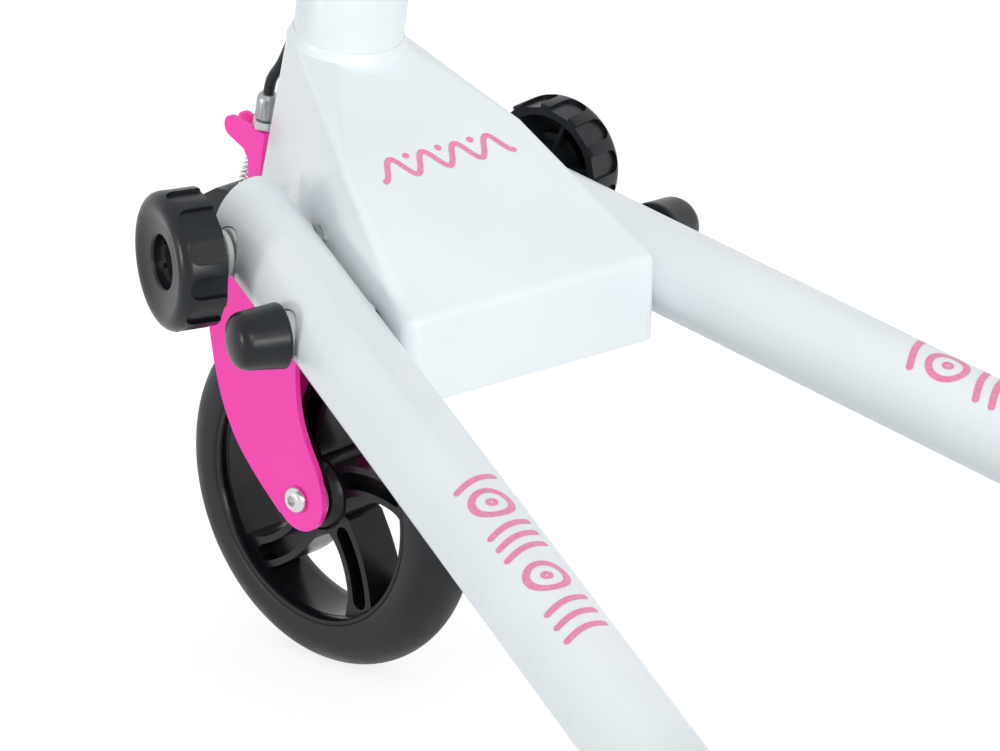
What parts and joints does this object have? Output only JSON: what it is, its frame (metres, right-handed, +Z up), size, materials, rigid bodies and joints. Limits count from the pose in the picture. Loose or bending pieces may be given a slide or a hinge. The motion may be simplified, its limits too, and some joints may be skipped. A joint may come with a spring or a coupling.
{
  "type": "three-wheeled swing scooter",
  "caption": "Three-wheeled swing scooter with a steered front wheel, hand brake, two folding legs, footplates and swivelling rear casters.",
  "frame": {"origin": "centre of the bounding box, on the floor under the wheels", "axes": "+Z up, the front faces -Y, the rider's left is +X; the steering is stored turned 5.3 degrees to the rider's left"},
  "size_m": [0.5658, 0.7121, 0.8736],
  "materials": {
    "white_powder_coat": "satin powder coat",
    "pink_powder_coat": "satin powder coat",
    "black_moulding": "moulded, half matt",
    "black_rubber": "matt",
    "grey_black_tyre": "poured, half matt",
    "bright_plating": "bright",
    "plain_steel": "plain"
  },
  "bodies": {
    "body": {"box_shell": "white_powder_coat", "box_floor": "white_powder_coat", "head_tube": "white_powder_coat", "weld_collar": "white_powder_coat", "lower_cup": "bright_plating", "upper_cup": "black_moulding", "pivot_sleeve_left": "plain_steel", "pivot_sleeve_right": "plain_steel", "pivot_washer_left": "black_moulding", "pivot_washer_right": "black_moulding"},
    "steering": {"fork": "pink_powder_coat", "steerer_tube": "plain_steel", "headset_nut": "bright_plating", "column_tube": "white_powder_coat", "column_clamp": "black_moulding", "handlebar": "white_powder_coat", "grip_left": "black_rubber", "grip_right": "black_rubber", "lever_bracket": "black_moulding", "lever_pin": "plain_steel", "brake_bracket": "pink_powder_coat", "adjuster_nut": "bright_plating", "cable_adjuster": "bright_plating", "brake_cable": "black_moulding", "brake_spring": "bright_plating", "brake_arm_pin": "bright_plating", "axle_bolt": "bright_plating", "axle_spacer_left": "plain_steel", "axle_spacer_right": "plain_steel"},
    "brake_lever": {"brake_lever": "bright_plating"},
    "brake_arm": {"brake_arm": "black_moulding", "brake_pad": "black_rubber"},
    "front_wheel": {"wheel_core": "black_moulding", "wheel_tyre": "grey_black_tyre", "wheel_bearing_left": "plain_steel", "wheel_bearing_right": "plain_steel"},
    "leg_left": {"leg_tube_left": "white_powder_coat", "leg_plug_left": "black_moulding", "pin_collar_left": "plain_steel", "footplate_left": "black_moulding", "knob_washer_left": "bright_plating"},
    "knob_left": {"knob_left": "black_moulding", "knob_bolt_left": "bright_plating"},
    "pin_left": {"pin_cap_left": "black_moulding", "pin_plunger_left": "plain_steel"},
    "caster_left": {"caster_fork_left": "black_moulding", "caster_bolt_left": "plain_steel"},
    "caster_wheel_left": {"caster_wheel_left": "black_moulding"},
    "leg_right": {"leg_tube_right": "white_powder_coat", "leg_plug_right": "black_moulding", "pin_collar_right": "plain_steel", "footplate_right": "black_moulding", "knob_washer_right": "bright_plating"},
    "knob_right": {"knob_right": "black_moulding", "knob_bolt_right": "bright_plating"},
    "pin_right": {"pin_cap_right": "black_moulding", "pin_plunger_right": "plain_steel"},
    "caster_right": {"caster_fork_right": "black_moulding", "caster_bolt_right": "plain_steel"},
    "caster_wheel_right": {"caster_wheel_right": "black_moulding"}
  },
  "joints": [
    {"name": "steering_turn", "type": "hinge", "parent": "body", "child": "steering", "pos_m": [0, -0.306, 0.0725], "axis": [0, 0.2028, 0.9792], "range_deg": [-50, 45]},
    {"name": "front_wheel_spin", "type": "hinge", "parent": "steering", "child": "front_wheel", "pos_m": [-0.00202, -0.28379, 0.07252], "axis": [0.9957, 0.0905, -0.0187], "continuous": true},
    {"name": "brake_lever_pull", "type": "hinge", "parent": "steering", "child": "brake_lever", "pos_m": [-0.13492, -0.18359, 0.85902], "axis": [0, -0.2028, -0.9792], "range_deg": [0, 12], "stiffness_Nm_per_rad": 0.6, "springref_deg": -8.59},
    {"name": "brake_arm_swing", "type": "hinge", "parent": "steering", "child": "brake_arm", "pos_m": [0.00351, -0.32521, 0.16634], "axis": [-0.9957, -0.0905, 0.0187], "range_deg": [0, 7.5], "deforming": ["brake_spring"]},
    {"name": "leg_fold_left", "type": "hinge", "parent": "body", "child": "leg_left", "pos_m": [0.057, -0.2448, 0.1939], "axis": [0.9644, -0.2645, 0], "range_deg": [0, 80]},
    {"name": "knob_turn_left", "type": "hinge", "parent": "leg_left", "child": "knob_left", "pos_m": [0.057, -0.2448, 0.1939], "axis": [0.9644, -0.2645, 0], "continuous": true},
    {"name": "pin_pull_left", "type": "slide", "parent": "leg_left", "child": "pin_left", "axis": [0.9644, -0.2645, 0], "range_m": [0, 0.008], "stiffness_N_per_m": 600, "springref_m": -0.006},
    {"name": "caster_swivel_left", "type": "hinge", "parent": "leg_left", "child": "caster_left", "pos_m": [0.20451, 0.29293, 0.08], "axis": [0, 0, 1], "continuous": true},
    {"name": "caster_wheel_spin_left", "type": "hinge", "parent": "caster_left", "child": "caster_wheel_left", "pos_m": [0.21192, 0.31993, 0.036], "axis": [0.9644, -0.2645, 0], "continuous": true},
    {"name": "leg_fold_right", "type": "hinge", "parent": "body", "child": "leg_right", "pos_m": [-0.057, -0.2448, 0.1939], "axis": [0.9644, 0.2645, 0], "range_deg": [0, 80]},
    {"name": "knob_turn_right", "type": "hinge", "parent": "leg_right", "child": "knob_right", "pos_m": [-0.057, -0.2448, 0.1939], "axis": [-0.9644, -0.2645, 0], "continuous": true},
    {"name": "pin_pull_right", "type": "slide", "parent": "leg_right", "child": "pin_right", "axis": [-0.9644, -0.2645, 0], "range_m": [0, 0.008], "stiffness_N_per_m": 600, "springref_m": -0.006},
    {"name": "caster_swivel_right", "type": "hinge", "parent": "leg_right", "child": "caster_right", "pos_m": [-0.20451, 0.29293, 0.08], "axis": [0, 0, 1], "continuous": true},
    {"name": "caster_wheel_spin_right", "type": "hinge", "parent": "caster_right", "child": "caster_wheel_right", "pos_m": [-0.21192, 0.31993, 0.036], "axis": [0.9644, 0.2645, 0], "continuous": true}
  ],
  "couplings": [
    {"joint": "brake_arm_swing", "follows": "brake_lever_pull", "ratio": 0.625}
  ]
}
